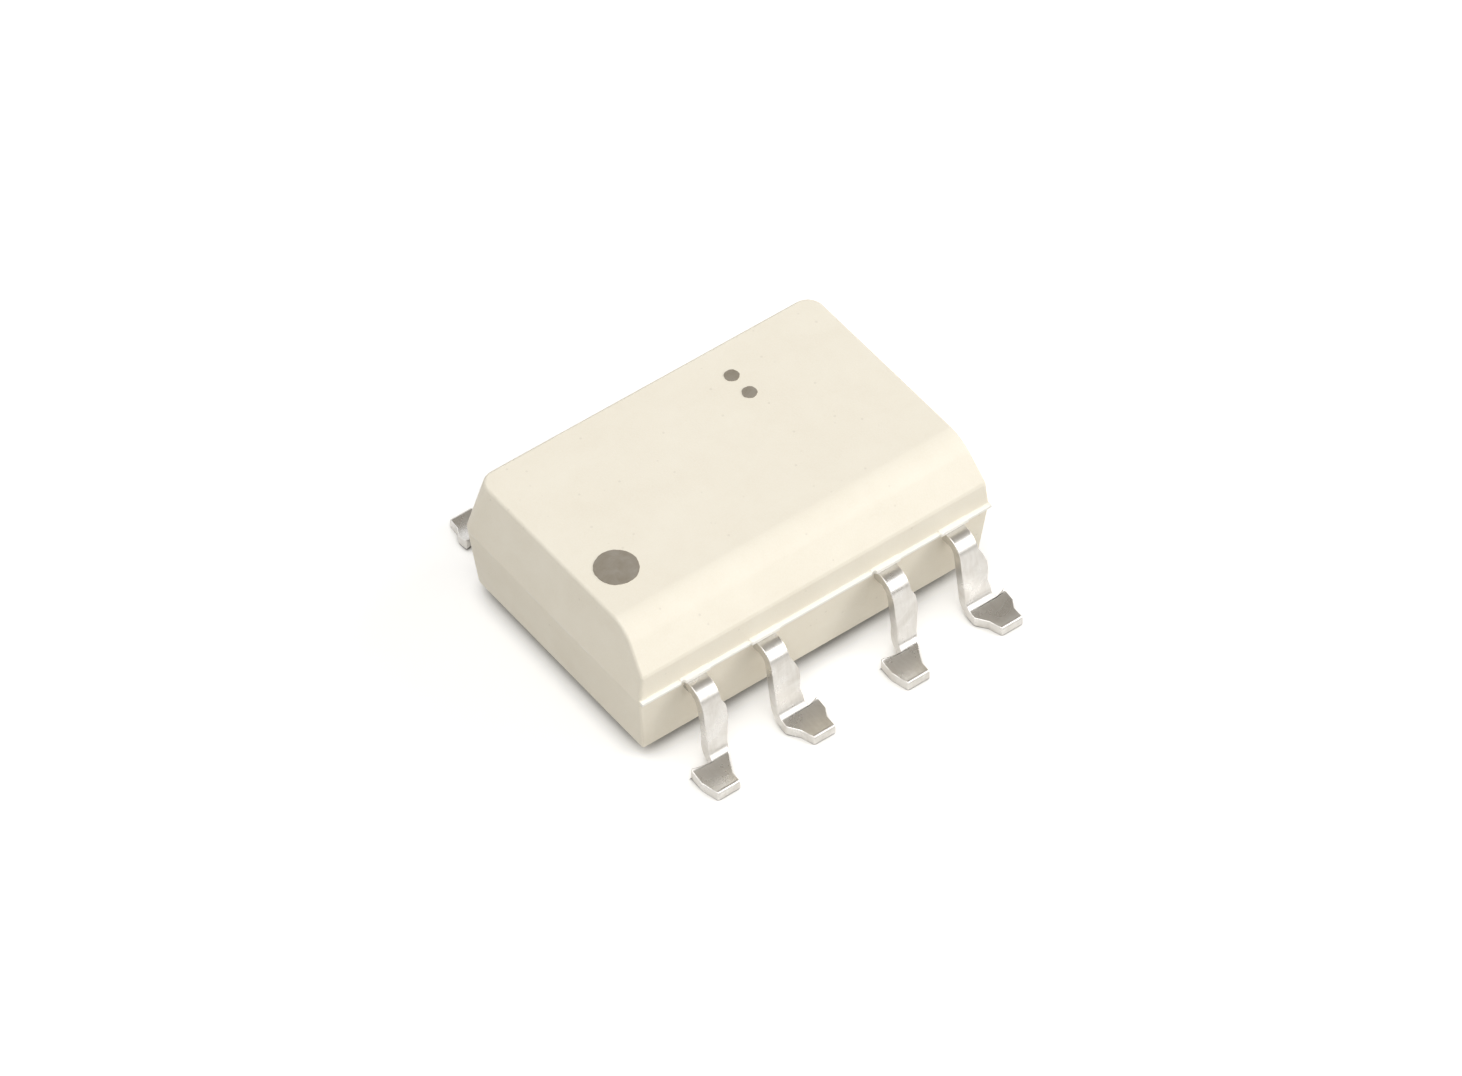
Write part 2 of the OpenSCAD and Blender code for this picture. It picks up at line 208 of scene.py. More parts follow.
class MouldingSettings(PropertyGroup):
    ridge_round: FloatProperty(
        name="Ridge rounding", description="Radius of the ridge between the chamfer and the flat top",
        default=0.85 * MM, min=0.3 * MM, max=1.1 * MM, unit="LENGTH", precision=6)
    corner_round: FloatProperty(
        name="Corner rounding", description="Radius of the two standing corners at the rear",
        default=0.40 * MM, min=0.1 * MM, max=0.6 * MM, unit="LENGTH", precision=6)
    edge_round: FloatProperty(
        name="Edge rounding", description="Width of the rounding on the moulding's other outer edges",
        default=0.06 * MM, min=0.01 * MM, max=0.09 * MM, unit="LENGTH", precision=6)
    flash_round: FloatProperty(
        name="Flash rounding", description="Rounding of the thin flash and its collars",
        default=0.018 * MM, min=0.005 * MM, max=0.03 * MM, unit="LENGTH", precision=6)
    resin_colour: FloatVectorProperty(
        name="Resin", description="Main colour of the moulded epoxy",
        default=(0.925, 0.862, 0.725), size=3, min=0, max=1, subtype="COLOR")
    resin_pale: FloatVectorProperty(
        name="Pale resin", description="Colour of the thin or rubbed places",
        default=(0.955, 0.912, 0.812), size=3, min=0, max=1, subtype="COLOR")


class LeadSettings(PropertyGroup):
    bend_round: FloatProperty(
        name="Bend", description="Outer radius of the bend where a lead leaves the body",
        default=0.48 * MM, min=0.34 * MM, max=0.5 * MM, unit="LENGTH", precision=6)
    edge_round: FloatProperty(
        name="Edge rounding", description="Rounding that the stamping leaves on a lead's edges",
        default=0.022 * MM, min=0.005 * MM, max=0.04 * MM, unit="LENGTH", precision=6)
    tin_colour: FloatVectorProperty(
        name="Tin", description="Colour of the bright tin plating",
        default=(0.80, 0.785, 0.76), size=3, min=0, max=1, subtype="COLOR")


class MarkSettings(PropertyGroup):
    edge_waver: FloatProperty(
        name="Edge waver", description="How far the printed edge strays from a true circle",
        default=0.008 * MM, min=0, max=0.03 * MM, unit="LENGTH", precision=6)
    small_dot_radius: FloatProperty(
        name="Small dot", description="Radius of each small printed dot",
        default=0.17 * MM, min=0.05 * MM, max=0.4 * MM, unit="LENGTH", precision=6)
    ink_colour: FloatVectorProperty(
        name="Ink", description="Colour of the printed ink",
        default=(0.262, 0.225, 0.170), size=3, min=0, max=1, subtype="COLOR")


class StudioSettings(PropertyGroup):
    front_power: FloatProperty(
        name="Front softbox", description="Power of the large softbox in front",
        default=0.64, min=0, unit="POWER")
    side_power: FloatProperty(
        name="Side softbox", description="Power of the softbox on the right",
        default=1.60, min=0, unit="POWER")
    top_power: FloatProperty(
        name="Top softbox", description="Power of the softbox overhead",
        default=1.82, min=0, unit="POWER")
    sky_level: FloatProperty(
        name="Room light", description="Level of the even light from the room",
        default=0.29, min=0, max=1, subtype="FACTOR")
    floor_lift: FloatProperty(
        name="Floor lift", description="How much the paper floor is lifted towards white in the picture",
        default=0.45, min=0, max=1, subtype="FACTOR")
    mirrored_lift: FloatProperty(
        name="Mirrored lift", description="How much the floor is lifted towards white in reflections",
        default=0.32, min=0, max=1, subtype="FACTOR")
    floor_colour: FloatVectorProperty(
        name="Floor", description="Colour of the paper floor",
        default=(0.74, 0.725, 0.695), size=3, min=0, max=1, subtype="COLOR")


# The bench's tools

def start_editing():
    bpy.ops.object.mode_set(mode="EDIT")


def stop_editing():
    bpy.ops.object.mode_set(mode="OBJECT")


def deselect_all():
    if bpy.context.object and bpy.context.object.mode != "OBJECT":
        stop_editing()
    bpy.ops.object.select_all(action="DESELECT")


def new_object(name, data):
    piece = bpy.data.objects.new(name, data)
    bpy.context.scene.collection.objects.link(piece)
    return piece


def name_newest(name):
    """Names the primitive that was added last, and returns it."""
    piece = bpy.context.object
    piece.name = piece.data.name = name
    return piece


def make_active(piece):
    deselect_all()
    piece.select_set(True)
    bpy.context.view_layer.objects.active = piece


def select_whole():
    bpy.ops.mesh.select_mode(type="VERT")
    bpy.ops.mesh.select_all(action="SELECT")


def merge_flat_faces(gap):
    """Merges corners that lie closer than the gap, and joins faces that lie in one plane."""
    select_whole()
    bpy.ops.mesh.remove_doubles(threshold=gap)
    bpy.ops.mesh.dissolve_limited(angle_limit=FLAT_ANGLE)


def bench_copy(node_name, piece_name):
    """Copies a CAD node to the bench, joins its loose triangles and leaves it in edit mode."""
    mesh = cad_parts[node_name].data.copy()
    mesh.transform(Matrix.Scale(1 / MM, 4))
    mesh.materials.clear()
    mesh.name = piece_name
    piece = new_object(piece_name, mesh)
    make_active(piece)
    if mesh.has_custom_normals:
        bpy.ops.mesh.customdata_custom_splitnormals_clear()
    start_editing()
    merge_flat_faces(JOIN_GAP)
    return piece


def all_corners(edge, test):
    return all(test(corner.co) for corner in edge.verts)


def pick_edges(piece, wanted):
    """Selects the edges for which wanted(edge) holds, and no others. Returns how many there are."""
    bpy.ops.mesh.select_mode(type="EDGE")
    bpy.ops.mesh.select_all(action="DESELECT")
    shape = bmesh.from_edit_mesh(piece.data)
    picked = [edge for edge in shape.edges if wanted(edge)]
    for edge in picked:
        edge.select_set(True)
    bmesh.update_edit_mesh(piece.data)
    return len(picked)


def is_ridge(edge):
    """An edge that stands out, and not one in an inner corner."""
    return len(edge.link_faces) == 2 and edge.is_convex and edge.calc_face_angle(0) > SHARP_ANGLE


def round_edges(piece, wanted, width, steps):
    if pick_edges(piece, wanted):
        bpy.ops.mesh.bevel(offset_type="OFFSET", offset=width, segments=steps, profile=0.5,
                           affect="EDGES", clamp_overlap=False, loop_slide=True)


def cut_off(point, outwards, fill=True):
    """Cuts the piece in edit mode along a plane, and takes away what lies beyond it."""
    select_whole()
    bpy.ops.mesh.bisect(plane_co=point, plane_no=Vector(outwards).normalized(), use_fill=fill,
                        clear_outer=True)


def outline_block(name, corners, travel):
    """A block made from a flat outline of corners in space, pushed along a vector."""
    deselect_all()
    bpy.ops.mesh.primitive_circle_add(vertices=len(corners), radius=1, fill_type="NGON")
    block = name_newest(name)
    for vertex, corner in zip(block.data.vertices, corners):
        vertex.co = corner
    start_editing()
    bpy.ops.mesh.select_all(action="SELECT")
    bpy.ops.mesh.extrude_region_move(TRANSFORM_OT_translate={"value": travel})
    bpy.ops.mesh.select_all(action="SELECT")
    bpy.ops.mesh.normals_make_consistent(inside=False)
    stop_editing()
    return block


def join_solid(piece, other, operation):
    """Adds another solid to the piece, takes it away, or keeps what both share. The other is used up."""
    make_active(piece)
    bpy.ops.object.modifier_add(type="BOOLEAN")
    joint = piece.modifiers[-1]
    joint.solver = "EXACT"
    joint.operation = operation
    joint.object = other
    bpy.ops.object.modifier_apply(modifier=joint.name)
    bpy.data.meshes.remove(other.data)


def close_gaps():
    """Merges doubled corners, drops collapsed faces and closes pinholes that bevels and joins leave."""
    select_whole()
    bpy.ops.mesh.remove_doubles(threshold=JOIN_GAP)
    bpy.ops.mesh.dissolve_degenerate(threshold=JOIN_GAP)
    bpy.ops.mesh.fill_holes(sides=4)


def arc_points(centre, radius, start, end, longest=ARC_STEP):
    """Points along an arc in a plane, both ends among them."""
    steps = max(1, math.ceil(abs(end - start) / longest))
    turns = (start + (end - start) * step / steps for step in range(steps + 1))
    return [(centre[0] + radius * math.cos(turn), centre[1] + radius * math.sin(turn)) for turn in turns]


def finish_piece(piece, slot, material, *nodes):
    """Smooths the piece, brings it from the bench to its real size, and lets it stand for the CAD nodes."""
    make_active(piece)
    bpy.ops.object.shade_smooth_by_angle(angle=SMOOTH_ANGLE, keep_sharp_edges=True)
    bpy.ops.object.modifier_add(type="WEIGHTED_NORMAL")
    weighting = piece.modifiers[-1]
    weighting.keep_sharp = True
    weighting.weight = NORMAL_WEIGHT
    bpy.ops.object.modifier_apply(modifier=weighting.name)
    piece.data.validate()
    piece.data.transform(Matrix.Scale(MM, 4))
    piece.data.materials.clear()
    piece.data.materials.append(material)
    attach(piece, "root")
    if nodes:
        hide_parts(*nodes)


# Materials

def add_node(tree, kind, place, **values):
    """Adds a node. A value named like a socket sets that socket, and any other a property of the node."""
    node = tree.nodes.new(kind)
    node.location = place
    for name, value in values.items():
        socket = node.inputs.get(name.replace("_", " "))
        if socket is not None and not hasattr(type(node), name):
            socket.default_value = value
        else:
            setattr(node, name, value)
    return node


def feed(tree, source, target):
    """Gives a socket its value: a number, a colour, or what another socket puts out."""
    if isinstance(source, bpy.types.NodeSocket):
        tree.links.new(source, target)
    else:
        target.default_value = (*source, 1) if isinstance(source, tuple) else source


def spread(tree, source, place, from_low, from_high, to_low=0.0, to_high=1.0):
    """Maps a value from one range to another, and holds it inside the new one."""
    node = add_node(tree, "ShaderNodeMapRange", place, clamp=True, From_Min=from_low, From_Max=from_high,
                    To_Min=to_low, To_Max=to_high)
    feed(tree, source, node.inputs["Value"])
    return node.outputs["Result"]


def combine(tree, operation, first, second, place):
    """Math between two sockets, or a socket and a number."""
    node = add_node(tree, "ShaderNodeMath", place, operation=operation)
    for socket, value in zip(node.inputs, (first, second)):
        feed(tree, value, socket)
    return node.outputs["Value"]


def blend_colours(tree, factor, first, second, place):
    """Mixes two colours by a factor socket. Each colour is a socket or a tuple."""
    node = add_node(tree, "ShaderNodeMix", place, data_type="RGBA")
    feed(tree, factor, node.inputs["Factor"])
    colours = [socket for socket in node.inputs if socket.type == "RGBA"]
    for socket, value in zip(colours, (first, second)):
        feed(tree, value, socket)
    return next(socket for socket in node.outputs if socket.type == "RGBA")


def add_texture(tree, kind, vector, scale, place, **values):
    """A noise or cell texture. Its scale is a socket or a number."""
    node = add_node(tree, kind, place, **values)
    feed(tree, vector, node.inputs["Vector"])
    feed(tree, scale, node.inputs["Scale"])
    return node


def new_group(name, inputs, outputs):
    tree = bpy.data.node_groups.new(name, "ShaderNodeTree")
    for socket_name, default in inputs:
        kind = "NodeSocketVector" if default is None else "NodeSocketFloat"
        socket = tree.interface.new_socket(socket_name, in_out="INPUT", socket_type=kind)
        if default is not None:
            socket.default_value = default
    for socket_name in outputs:
        tree.interface.new_socket(socket_name, in_out="OUTPUT", socket_type="NodeSocketFloat")
    return tree, add_node(tree, "NodeGroupInput", (-900, 0)), add_node(tree, "NodeGroupOutput", (700, 0))


def moulded_skin():
    """Cloudy mottle, fine grain and small pits, as on moulded resin, ink and glue. It is made once."""
    if "Moulded skin" in bpy.data.node_groups:
        return bpy.data.node_groups["Moulded skin"]
    tree, start, end = new_group(
        "Moulded skin",
        [("Vector", None), ("Mottle Scale", 1.2), ("Grain Scale", 30.0), ("Pit Scale", 4.0)],
        ["Mottle", "Grain", "Pits"])
    vector, mottle_scale, grain_scale, pit_scale = start.outputs[:4]
    mottle = add_texture(tree, "ShaderNodeTexNoise", vector, mottle_scale, (-500, 250),
                         Detail=5.0, Roughness=0.62, Distortion=0.4)
    grain = add_texture(tree, "ShaderNodeTexNoise", vector, grain_scale, (-500, 0),
                        Detail=3.0, Roughness=0.55)
    pits = add_texture(tree, "ShaderNodeTexVoronoi", vector, pit_scale, (-500, -250))
    feed(tree, spread(tree, mottle.outputs["Fac"], (-200, 250), 0.30, 0.70), end.inputs["Mottle"])
    feed(tree, grain.outputs["Fac"], end.inputs["Grain"])
    feed(tree, spread(tree, pits.outputs["Distance"], (-200, -250), 0.10, 0.05), end.inputs["Pits"])
    return tree


def plated_skin():
    """Long rolling streaks, soft smudges and fine grain, as on plated or drawn metal. It is made once."""
    if "Plated skin" in bpy.data.node_groups:
        return bpy.data.node_groups["Plated skin"]
    tree, start, end = new_group(
        "Plated skin", [("Vector", None), ("Streak Scale", 14.0), ("Smudge Scale", 1.6)],
        ["Streaks", "Smudges", "Grain"])
    vector, streak_scale, smudge_scale = start.outputs[:3]
    stretch = add_node(tree, "ShaderNodeMapping", (-700, 250), Scale=(1.0, 0.12, 0.12))
    feed(tree, vector, stretch.inputs["Vector"])
    streaks = add_texture(tree, "ShaderNodeTexNoise", stretch.outputs["Vector"], streak_scale, (-450, 250),
                          Detail=3.0, Roughness=0.6)
    smudges = add_texture(tree, "ShaderNodeTexNoise", vector, smudge_scale, (-450, 0),
                          Detail=4.0, Roughness=0.6, Distortion=0.8)
    grain = add_texture(tree, "ShaderNodeTexNoise", vector, 42.0, (-450, -250), Detail=2.0)
    feed(tree, streaks.outputs["Fac"], end.inputs["Streaks"])
    feed(tree, spread(tree, smudges.outputs["Fac"], (-200, 0), 0.35, 0.68), end.inputs["Smudges"])
    feed(tree, grain.outputs["Fac"], end.inputs["Grain"])
    return tree


def start_material(name, **surface):
    """A material with a Principled shader, and object coordinates in millimetres."""
    material = bpy.data.materials.new(name)
    material.use_nodes = True
    tree = material.node_tree
    tree.nodes.clear()
    output = add_node(tree, "ShaderNodeOutputMaterial", (900, 0))
    shader = add_node(tree, "ShaderNodeBsdfPrincipled", (600, 0), **surface)
    feed(tree, shader.outputs["BSDF"], output.inputs["Surface"])
    place = add_node(tree, "ShaderNodeTexCoord", (-1600, 0))
    in_mm = add_node(tree, "ShaderNodeMapping", (-1400, 0), Scale=(1 / MM, 1 / MM, 1 / MM))
    feed(tree, place.outputs["Object"], in_mm.inputs["Vector"])
    return material, tree, shader, in_mm.outputs["Vector"]


def use_group(tree, group, vector, **scales):
    """Places a group in a material with its own scales, and returns what it puts out."""
    node = add_node(tree, "ShaderNodeGroup", (-1100, 250), node_tree=group, **scales)
    feed(tree, vector, node.inputs["Vector"])
    return node.outputs


def moulded_surface(tree, vector, mottle, grain, pit):
    return use_group(tree, moulded_skin(), vector, Mottle_Scale=mottle, Grain_Scale=grain, Pit_Scale=pit)


def plated_surface(tree, vector, streak, smudge):
    return use_group(tree, plated_skin(), vector, Streak_Scale=streak, Smudge_Scale=smudge)


def dress(tree, shader, colour, roughness, relief, strength, depth):
    """Gives the shader its colour, its roughness and a bump that is depth millimetres deep."""
    bump = add_node(tree, "ShaderNodeBump", (400, -200), Strength=strength, Distance=depth * MM)
    feed(tree, relief, bump.inputs["Height"])
    feed(tree, colour, shader.inputs["Base Color"])
    feed(tree, roughness, shader.inputs["Roughness"])
    feed(tree, bump.outputs["Normal"], shader.inputs["Normal"])


def near(tree, value, centre, half_width, soft, place):
    """1 where the value lies within half_width of the centre, fading to 0 over soft."""
    x, y = place
    away = combine(tree, "ABSOLUTE", combine(tree, "SUBTRACT", value, centre, (x, y)), 0, (x + 160, y))
    return spread(tree, away, (x + 320, y), half_width + soft, half_width)


def mould_resin_material(settings):
    material, tree, shader, vector = start_material("mould_resin", Specular_IOR_Level=0.42)
    skin = moulded_surface(tree, vector, 0.85, 26.0, 2.6)
    axes = add_node(tree, "ShaderNodeSeparateXYZ", (-1100, -200))
    feed(tree, vector, axes.inputs["Vector"])
    main, pale = tuple(settings.resin_colour), tuple(settings.resin_pale)
    shaded = tuple(c * f for c, f in zip(main, RESIN_SHADE))
    clouds = blend_colours(tree, skin["Mottle"], shaded, main, (-700, 400))
    fine = spread(tree, skin["Grain"], (-900, 150), 0.30, 0.75, 0.0, 0.35)
    grained = blend_colours(tree, fine, clouds, pale, (-450, 400))
    specks = combine(tree, "MULTIPLY", skin["Pits"], 0.22, (-450, 200))
    speckled = blend_colours(tree, specks, grained, RESIN_PIT, (-250, 400))
    # The thin flash lets more light through and looks paler. Its paler colour is also a painted highlight
    # for the light that the flash's top catches from above.
    from_middle = combine(tree, "SUBTRACT", axes.outputs["Y"], BODY_MID_Y, (-900, -300))
    across = combine(tree, "ABSOLUTE", from_middle, 0, (-750, -300))
    beyond = spread(tree, across, (-600, -300), *PALE_BESIDE)
    level = near(tree, axes.outputs["Z"], *PALE_LEVEL, (-1000, -500))
    flash_highlight_mask = combine(tree, "MULTIPLY", beyond, level, (-300, -350))
    flash_highlighted = blend_colours(tree, flash_highlight_mask, speckled, RESIN_FLASH_HIGHLIGHT, (-50, 400))
    # The two mould halves leave a fine broken seam on the end faces.
    along = combine(tree, "ABSOLUTE", axes.outputs["X"], 0, (-900, -700))
    on_end = spread(tree, along, (-700, -700), *SEAM_ENDS)
    line = near(tree, axes.outputs["Z"], *SEAM_LINE, (-1000, -850))
    broken = add_texture(tree, "ShaderNodeTexNoise", vector, 1.9, (-900, -1000), Detail=2.0)
    gaps = spread(tree, broken.outputs["Fac"], (-700, -1000), 0.47, 0.56)
    end_line = combine(tree, "MULTIPLY", on_end, line, (-350, -750))
    seam = combine(tree, "MULTIPLY", end_line, gaps, (-200, -750))
    coloured = blend_colours(tree, seam, flash_highlighted, RESIN_SEAM, (150, 400))
    rough = spread(tree, skin["Mottle"], (200, 150), 0, 1, 0.56, 0.44)
    lower = combine(tree, "MULTIPLY", skin["Pits"], -0.8, (0, -100))
    rough_face = combine(tree, "ADD", skin["Grain"], lower, (150, -100))
    relief = combine(tree, "ADD", rough_face, seam, (300, -100))
    dress(tree, shader, coloured, rough, relief, 0.35, 0.006)
    return material


def tin_plate_material(settings):
    material, tree, shader, vector = start_material("tin_plate", Metallic=1.0)
    skin = plated_surface(tree, vector, 16.0, 1.5)
    main = tuple(settings.tin_colour)
    dull = tuple(c * f for c, f in zip(main, TIN_DULL))
    smudged = blend_colours(tree, skin["Smudges"], dull, main, (-600, 300))
    streak = spread(tree, skin["Streaks"], (-700, 50), 0.35, 0.70, 0.0, 0.22)
    streaked = blend_colours(tree, streak, smudged, TIN_STREAK, (-350, 300))
    rough = spread(tree, skin["Smudges"], (200, 150), 0, 1, 0.36, 0.24)
    grain = combine(tree, "MULTIPLY", skin["Grain"], 0.5, (-300, -250))
    relief = combine(tree, "ADD", skin["Streaks"], grain, (0, -150))
    dress(tree, shader, streaked, rough, relief, 0.12, 0.004)
    return material


def marking_ink_material(settings):
    material, tree, shader, vector = start_material("marking_ink", Specular_IOR_Level=0.35)
    skin = moulded_surface(tree, vector, 3.2, 34.0, 7.0)
    main = tuple(settings.ink_colour)
    worn = tuple(c + (1 - c) * 0.10 for c in main)
    clouds = blend_colours(tree, skin["Mottle"], main, worn, (-500, 300))
    specks = combine(tree, "MULTIPLY", skin["Pits"], 0.5, (-450, 100))
    speckled = blend_colours(tree, specks, clouds, INK_PIT, (-250, 300))
    rough = spread(tree, skin["Mottle"], (200, 150), 0, 1, 0.48, 0.62)
    dress(tree, shader, speckled, rough, skin["Grain"], 0.35, 0.004)
    return material


def chip_material(name, tones, metal):
    """Polished semiconductor with faint clouding and a few pits."""
    material, tree, shader, vector = start_material(name, Metallic=metal, Specular_IOR_Level=0.7)
    skin = moulded_surface(tree, vector, 6.0, 60.0, 18.0)
    clouds = blend_colours(tree, skin["Mottle"], *tones, (-400, 300))
    rough = spread(tree, skin["Grain"], (200, 150), 0.3, 0.7, 0.12, 0.26)
    dress(tree, shader, clouds, rough, skin["Grain"], 0.2, 0.001)
    return material


def die_glue_material():
    material, tree, shader, vector = start_material("die_glue", Metallic=0.45)
    skin = moulded_surface(tree, vector, 9.0, 70.0, 24.0)
    flakes = blend_colours(tree, skin["Mottle"], *GLUE_TONES, (-400, 300))
    rough = spread(tree, skin["Grain"], (200, 150), 0.3, 0.7, 0.38, 0.62)
    dress(tree, shader, flakes, rough, skin["Grain"], 0.5, 0.003)
    return material


def gold_wire_material():
    material, tree, shader, vector = start_material("gold_wire", Metallic=1.0)
    skin = plated_surface(tree, vector, 60.0, 8.0)
    toned = blend_colours(tree, skin["Smudges"], *GOLD_TONES, (-400, 300))
    rough = spread(tree, skin["Streaks"], (200, 150), 0.3, 0.7, 0.14, 0.30)
    dress(tree, shader, toned, rough, skin["Grain"], 0.2, 0.001)
    return material


def clear_silicone_material():
    material, tree, shader, vector = start_material("clear_silicone", Transmission_Weight=0.92, IOR=1.41)
    skin = moulded_surface(tree, vector, 0.9, 20.0, 3.0)
    toned = blend_colours(tree, skin["Mottle"], *SILICONE_TONES, (-400, 300))
    rough = spread(tree, skin["Mottle"], (200, 150), 0, 1, 0.05, 0.14)
    dress(tree, shader, toned, rough, skin["Mottle"], 0.15, 0.010)
    return material


# The moulding

def moulding_block(settings):
    """The moulding without its flash: a block cut to its leaning walls, with its edges rounded."""
    deselect_all()
    height = TOP_Z - BOTTOM_Z
    bpy.ops.mesh.primitive_cube_add(size=1, location=(0, BODY_MID_Y, BOTTOM_Z + height / 2),
                                    scale=(2 * BODY_HALF + SPARE, 2 * SIDE_HALF + SPARE, height + SPARE))
    body = name_newest("moulded_body")
    bpy.ops.object.transform_apply()
    start_editing()
    upper, lower = TOP_Z - PARTING_Z, PARTING_Z - BOTTOM_Z
    front, rear = BODY_MID_Y - SIDE_HALF, BODY_MID_Y + SIDE_HALF
    strip_top = (0, front + STRIP_LEAN, PARTING_Z + STRIP_HEIGHT)
    cut_off((0, 0, TOP_Z), (0, 0, 1))
    cut_off((0, 0, BOTTOM_Z), (0, 0, -1))
    cut_off((0, rear, PARTING_Z), (0, upper, REAR_LEAN))
    cut_off((0, rear, PARTING_Z), (0, lower, -LOWER_LEAN))
    cut_off((0, front, PARTING_Z), (0, -lower, -LOWER_LEAN))
    cut_off((0, front, PARTING_Z), (0, -STRIP_HEIGHT, STRIP_LEAN))
    cut_off(strip_top, (0, STRIP_HEIGHT - upper, CHAMFER_IN))
    for end in (-1, 1):
        cut_off((end * BODY_HALF, 0, PARTING_Z), (end * upper, 0, END_LEAN_UPPER))
        cut_off((end * BODY_HALF, 0, PARTING_Z), (end * lower, 0, -END_LEAN_LOWER))
    ridge_y = strip_top[1] + CHAMFER_IN
    ridge_turn = math.atan2(upper - STRIP_HEIGHT, CHAMFER_IN)

    def on_ridge(edge):
        return all_corners(edge, lambda co: co.z > TOP_Z - ON_PLANE and abs(co.y - ridge_y) < ON_PLANE)

    def at_rear_corner(edge):
        rise = abs(edge.verts[0].co.z - edge.verts[1].co.z)
        return rise > STANDING and all_corners(edge, lambda co: co.y > REAR_Y and abs(co.x) > END_X)

    def is_outer(edge):
        return is_ridge(edge) and not all_corners(edge, lambda co: abs(co.z - PARTING_Z) < ON_PLANE)

    round_edges(body, on_ridge, settings.ridge_round / MM * math.tan(ridge_turn / 2), RIDGE_STEPS)
    round_edges(body, at_rear_corner, settings.corner_round / MM, CORNER_STEPS)
    round_edges(body, is_outer, settings.edge_round / MM, EDGE_STEPS)
    stop_editing()
    return body


def flash_plate(corner_round):
    """The thin flash along both sides. It stops where the rear corners turn, and inside the end faces."""
    front, rear = BODY_MID_Y - FLASH_REACH, BODY_MID_Y + FLASH_REACH
    turn_x = BODY_HALF - corner_round
    outline = [(-FLASH_HALF, front), (FLASH_HALF, front), (FLASH_HALF, BODY_MID_Y),
               (turn_x, rear), (-turn_x, rear), (-FLASH_HALF, BODY_MID_Y)]
    return outline_block("flash", [(x, y, PARTING_Z) for x, y in outline], (0, 0, FLASH_THICK))


def pin_x(column):
    """X of a pin's own line. A column has the number of its pin in the front row."""
    return FRAME_X + (column - (ROW_PINS + 1) / 2) * PITCH


def neck_x(column):
    """X of the middle of a lead's neck, which stands off its line towards the partner."""
    return pin_x(column) + (NECK_OFFSET if column % 2 else -NECK_OFFSET)


def collar(column):
    """The strip of thicker flash over one lead and over the one across from it."""
    x, half, reach = neck_x(column), COLLAR_WIDTH / 2, COLLAR_REACH
    outline = [(x - half, BODY_MID_Y - reach), (x + half, BODY_MID_Y - reach),
               (x + half, BODY_MID_Y + reach), (x - half, BODY_MID_Y + reach)]
    return outline_block("collar", [(*corner, PARTING_Z) for corner in outline], (0, 0, COLLAR_THICK))


def dome_block():
    """The room that the silicone drop takes up inside the moulding: the cap of a ball."""
    low, high = (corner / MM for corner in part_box("light_dome"))
    radius, rise = (high.x - low.x) / 2, high.z - PARTING_Z
    ball = (radius * radius + rise * rise) / (2 * rise)
    deselect_all()
    bpy.ops.mesh.primitive_uv_sphere_add(
        segments=ROUND_STEPS, ring_count=ROUND_STEPS, radius=ball,
        location=((low.x + high.x) / 2, (low.y + high.y) / 2, high.z - ball))
    dome = bpy.context.object
    bpy.ops.object.transform_apply()
    start_editing()
    cut_off((0, 0, PARTING_Z - FILM), (0, 0, -1))
    stop_editing()
    return dome


def take_round_hole(body, centre, radius, depth, steps):
    """Takes a standing cylinder away from the body."""
    deselect_all()
    bpy.ops.mesh.primitive_cylinder_add(vertices=steps, radius=radius, depth=depth, location=centre)
    join_solid(body, bpy.context.object, "DIFFERENCE")


class PHOTOCOUPLER_OT_package_body(Operator):
    """Makes the cream moulding, with its soft ridge, round rear corners, flash and seam"""
    bl_idname = "photocoupler.package_body"
    bl_label = "Moulded body"

    def execute(self, context):
        settings = context.scene.photocoupler_moulding
        body = moulding_block(settings)
        join_solid(body, flash_plate(settings.corner_round / MM), "UNION")
        for column in range(1, ROW_PINS + 1):
            join_solid(body, collar(column), "UNION")
        for number in range(1, 2 * ROW_PINS + 1):
            join_solid(body, bench_copy(f"lead_{number}", "lead_slot"), "DIFFERENCE")
        join_solid(body, dome_block(), "DIFFERENCE")
        nick_y = BODY_MID_Y - COLLAR_REACH + NICK_RADIUS / 3
        for column in NICKED_LEADS:
            nick = (neck_x(column) - NICK_ASIDE, nick_y, PARTING_Z)
            take_round_hole(body, nick, NICK_RADIUS, NICK_DEPTH, NICK_STEPS)
        for x in (-EJECTOR_X, EJECTOR_X):
            take_round_hole(body, (x, BODY_MID_Y, BOTTOM_Z), EJECTOR_RADIUS, 2 * EJECTOR_DEPTH,
                            EJECTOR_STEPS)
        make_active(body)
        start_editing()
        merge_flat_faces(JOIN_GAP)

        def on_flash(edge):
            return is_ridge(edge) and all_corners(
                edge, lambda co: abs(co.y - BODY_MID_Y) > SIDE_HALF + FLASH_START)

        def on_end_seam(edge):
            return all_corners(edge, lambda co: abs(co.z - PARTING_Z) < SEAM_GAP and abs(co.x) > END_X)

        round_edges(body, on_flash, settings.flash_round / MM, FINE_STEPS)
        close_gaps()
        pick_edges(body, on_end_seam)
        bpy.ops.mesh.mark_sharp()
        finish_piece(body, "mould_resin", mould_resin_material(settings), "package_body")
        return {"FINISHED"}


# The leads

